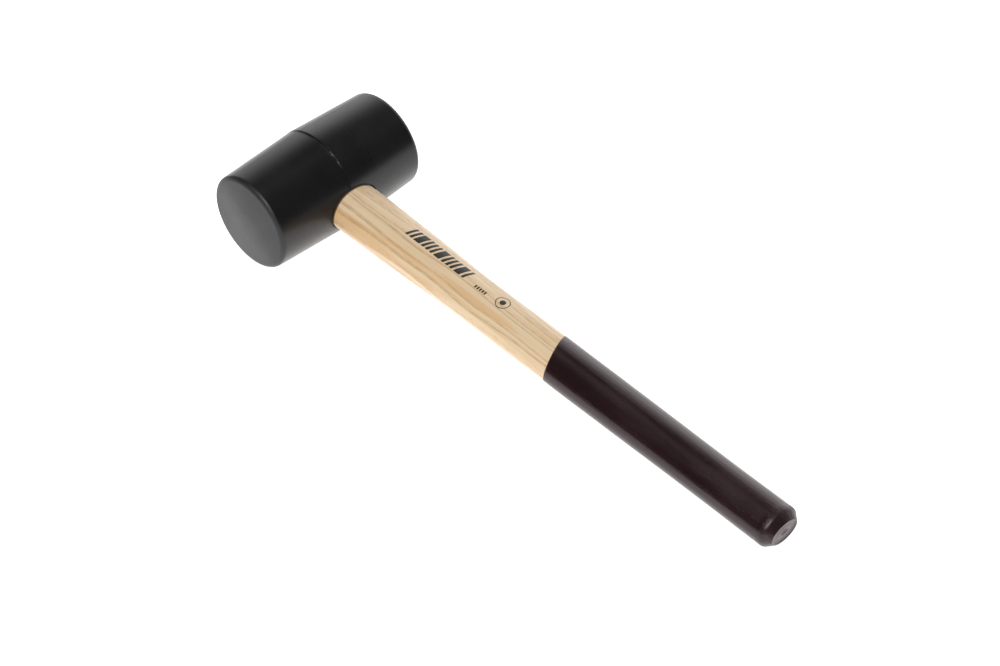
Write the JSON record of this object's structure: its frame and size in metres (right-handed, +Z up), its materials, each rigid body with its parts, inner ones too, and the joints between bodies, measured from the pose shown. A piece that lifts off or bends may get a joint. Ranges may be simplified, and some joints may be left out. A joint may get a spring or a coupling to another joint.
{
  "type": "rubber mallet",
  "caption": "Mallet with a black rubber barrel head on an oval ash handle, wedged tenon and glossy dark brown dipped grip.",
  "frame": {"origin": "on the surface the mallet rests on, under the middle of its box as it lies on its barrel and its butt", "axes": "+X runs along the handle from the head to the butt, the head's axis lies along Y between its two striking faces, and +Z is up from the resting surface. The handle droops about 3.3 degrees towards the butt."},
  "size_m": [0.4002, 0.1086, 0.065],
  "materials": {
    "rubber": "moulded black rubber, satin round the barrel and matte on the striking faces",
    "ash": "sanded pale ash with long tan grain, no varnish",
    "coating": "glossy dark brown dipped lacquer that shows the grain beneath",
    "beech": "dry sawn beech",
    "steel": "dull stamped steel"
  },
  "bodies": {
    "root": {"rubber_head": "rubber", "ash_handle": "ash", "grip_coating": "coating", "wood_wedge": "beech", "steel_wedge_1": "steel", "steel_wedge_2": "steel"}
  },
  "joints": []
}
